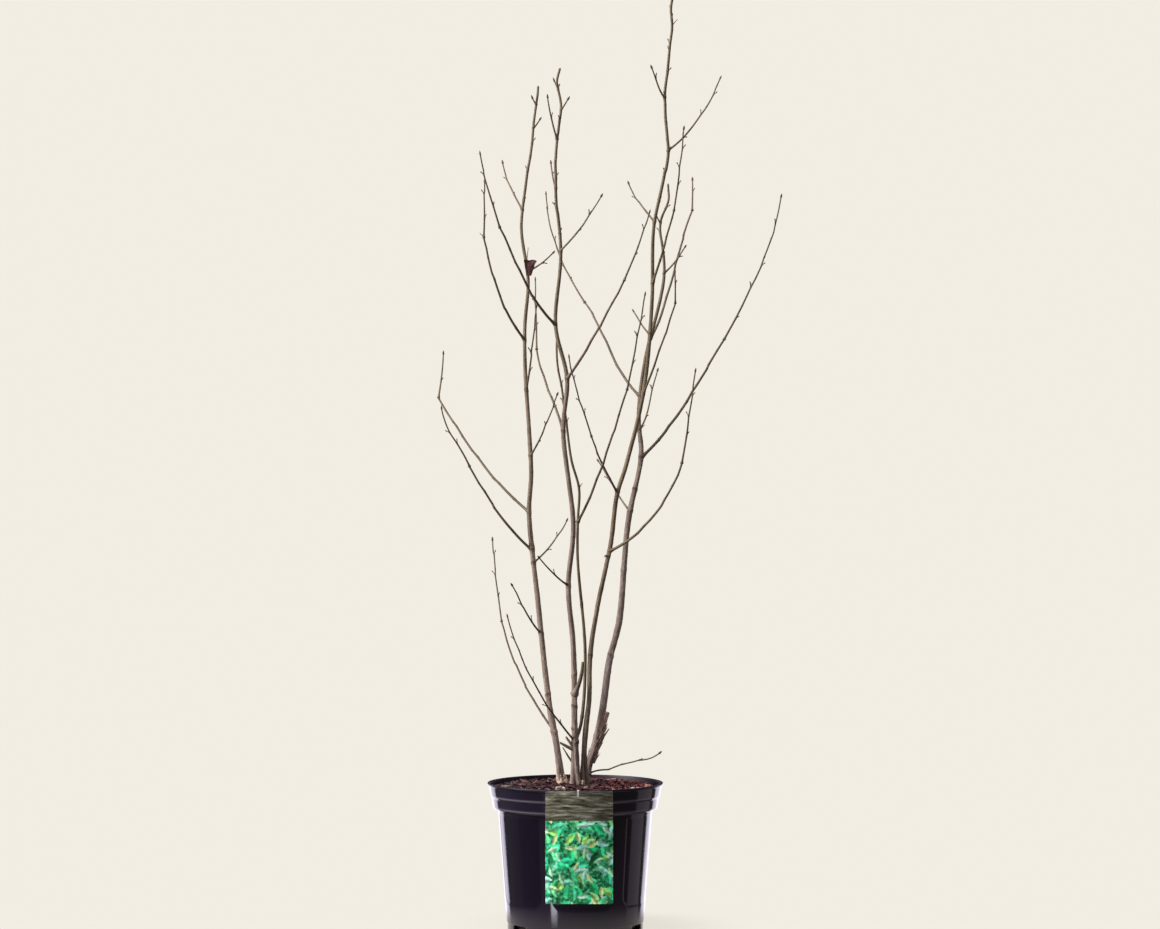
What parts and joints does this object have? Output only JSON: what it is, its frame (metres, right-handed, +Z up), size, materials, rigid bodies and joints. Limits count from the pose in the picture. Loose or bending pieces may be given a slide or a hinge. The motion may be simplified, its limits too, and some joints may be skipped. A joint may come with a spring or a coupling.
{
  "type": "potted tulip tree",
  "caption": "Young tulip tree in winter, bare of leaves, with several slender stems, in a round black plastic nursery pot of bark soil with a hanging picture label.",
  "frame": {"origin": "middle of the flat underside of the pot, where it meets the floor", "axes": "+Z up along the pot's axis, -Y towards the side where the label hangs, +X to the right as seen from there"},
  "size_m": [0.5622, 0.3873, 1.4893],
  "materials": {
    "pot": "injection-moulded black polypropylene, smooth and glossy",
    "soil": "loose dark brown compost and bark chips",
    "label": "thin printed card, satin",
    "bark": "young grey-brown bark, satin, with darker rings and breathing pores",
    "twigs": "smooth brown twig bark with buds"
  },
  "bodies": {
    "root": {"pot": "pot", "soil": "soil", "label_card": "label", "stem_left": "bark", "twigs_left_top": "twigs", "stem_inner_left": "bark", "twigs_inner_left_top": "twigs", "stem_middle": "bark", "twigs_middle_top": "twigs", "stem_inner_right": "bark", "twigs_inner_right_top": "twigs", "stem_right": "bark", "twigs_right_top": "twigs", "bough_left_1": "bark", "twigs_left_1": "twigs", "bough_left_2": "bark", "twigs_left_2": "twigs", "bough_left_3": "bark", "twigs_left_3": "twigs", "bough_left_4": "bark", "twigs_left_4": "twigs", "bough_inner_left_1": "bark", "twigs_inner_left_1": "twigs", "bough_inner_left_2": "bark", "twigs_inner_left_2": "twigs", "bough_inner_left_3": "bark", "twigs_inner_left_3": "twigs", "bough_middle_1": "bark", "twigs_middle_1": "twigs", "bough_inner_right_1": "bark", "twigs_inner_right_1": "twigs", "bough_inner_right_2": "bark", "twigs_inner_right_2": "twigs", "bough_inner_right_3": "bark", "twigs_inner_right_3": "twigs", "bough_inner_right_4": "bark", "twigs_inner_right_4": "twigs", "bough_right_1": "bark", "twigs_right_1": "twigs", "bough_right_2": "bark", "twigs_right_2": "twigs", "bough_right_3": "bark", "twigs_right_3": "twigs", "twig_left_1": "twigs", "twig_left_2": "twigs", "twig_left_3": "twigs", "twig_left_4": "twigs", "twig_left_5": "twigs", "twig_inner_left_1": "twigs", "twig_inner_left_2": "twigs", "twig_inner_left_3": "twigs", "twig_inner_right_1": "twigs", "twig_right_1": "twigs", "twig_right_2": "twigs", "twig_right_3": "twigs"}
  },
  "joints": []
}
